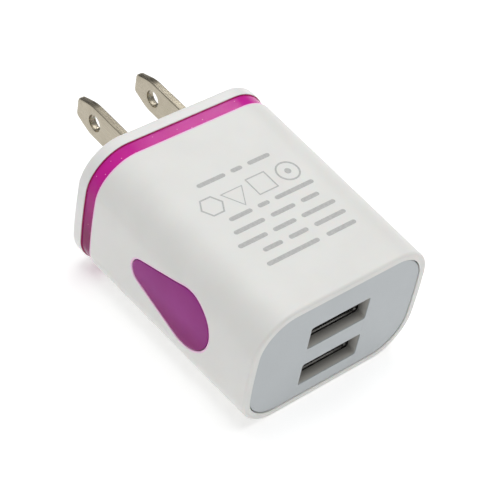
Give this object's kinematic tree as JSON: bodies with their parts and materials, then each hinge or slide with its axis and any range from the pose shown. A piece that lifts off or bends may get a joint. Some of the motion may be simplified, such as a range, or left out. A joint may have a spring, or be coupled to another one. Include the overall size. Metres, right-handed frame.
{
  "type": "usb wall charger",
  "caption": "Small two-blade wall charger: tapered white housing, magenta light band and drop-shaped side windows, and a grey plate with stacked USB-A sockets.",
  "frame": {"origin": "middle of the plug face, the flat end of the plug cap that meets the outlet", "axes": "+Y out of the plug face along the blades, -Y out of the socket face, +Z out of the printed wide face, +X across the width"},
  "size_m": [0.0386, 0.0629, 0.0266],
  "materials": {
    "shell_plastic": "satin moulded white plastic",
    "cap_plastic": "satin moulded white plastic",
    "plate_plastic": "fine satin, pale blue-grey",
    "band_plastic": "translucent magenta light guide",
    "window_plastic": "translucent dark magenta, polished",
    "blade_metal": "nickel-plated brass, satin",
    "socket_steel": "nickel-plated formed sheet",
    "socket_plastic": "black moulded insulator",
    "contact_metal": "gold-flashed spring strip",
    "tail_metal": "tinned",
    "board_laminate": "green solder mask",
    "ferrite": "sintered, dark grey",
    "bobbin_plastic": "moulded, black",
    "winding_tape": "yellow tape over enamelled wire",
    "copper_wire": "enamelled copper wire",
    "input_sleeve": "can with a dark sleeve",
    "output_sleeve": "can with a green sleeve",
    "disc_coating": "blue epoxy coating",
    "resistor_coating": "grey-green cement coating",
    "chip_resin": "black moulded resin",
    "lamp_resin": "tinted clear resin",
    "lead_black": "black insulation",
    "lead_white": "white insulation",
    "wire_red": "red insulation"
  },
  "bodies": {
    "charger": {"outer_shell": "shell_plastic", "plug_cap": "cap_plastic", "light_band": "band_plastic", "drop_window_left": "window_plastic", "drop_window_right": "window_plastic", "usb_face_plate": "plate_plastic", "blade_left": "blade_metal", "blade_right": "blade_metal", "lead_left": "lead_black", "lead_right": "lead_white", "usb_board": "board_laminate", "main_board": "board_laminate", "usb_shell_upper": "socket_steel", "usb_tongue_upper": "socket_plastic", "contact_tail_upper_1": "tail_metal", "contact_tail_upper_2": "tail_metal", "contact_tail_upper_3": "tail_metal", "contact_tail_upper_4": "tail_metal", "usb_shell_lower": "socket_steel", "usb_tongue_lower": "socket_plastic", "contact_tail_lower_1": "tail_metal", "contact_tail_lower_2": "tail_metal", "contact_tail_lower_3": "tail_metal", "contact_tail_lower_4": "tail_metal", "transformer_core_rear": "ferrite", "transformer_core_front": "ferrite", "transformer_bobbin": "bobbin_plastic", "transformer_winding": "winding_tape", "input_capacitor_left": "input_sleeve", "input_capacitor_right": "input_sleeve", "output_capacitor_left": "output_sleeve", "output_capacitor_right": "output_sleeve", "y_capacitor": "disc_coating", "fusible_resistor": "resistor_coating", "inductor_core": "ferrite", "inductor_winding": "copper_wire", "bridge_rectifier": "chip_resin", "switcher_ic": "chip_resin", "output_diode": "chip_resin", "led_left": "lamp_resin", "led_right": "lamp_resin", "output_wire_positive": "wire_red", "output_wire_negative": "lead_black"},
    "upper_contacts": {"contact_upper_1": "contact_metal", "contact_upper_2": "contact_metal", "contact_upper_3": "contact_metal", "contact_upper_4": "contact_metal"},
    "lower_contacts": {"contact_lower_1": "contact_metal", "contact_lower_2": "contact_metal", "contact_lower_3": "contact_metal", "contact_lower_4": "contact_metal"}
  },
  "joints": [
    {"name": "upper_contact_flex", "type": "hinge", "parent": "charger", "child": "upper_contacts", "pos_m": [0, -0.0329, 0.00295], "axis": [-1, 0, 0], "range_deg": [0, 2.5], "stiffness_Nm_per_rad": 0.5},
    {"name": "lower_contact_flex", "type": "hinge", "parent": "charger", "child": "lower_contacts", "pos_m": [0, -0.0329, -0.00595], "axis": [-1, 0, 0], "range_deg": [0, 2.5], "stiffness_Nm_per_rad": 0.5}
  ]
}
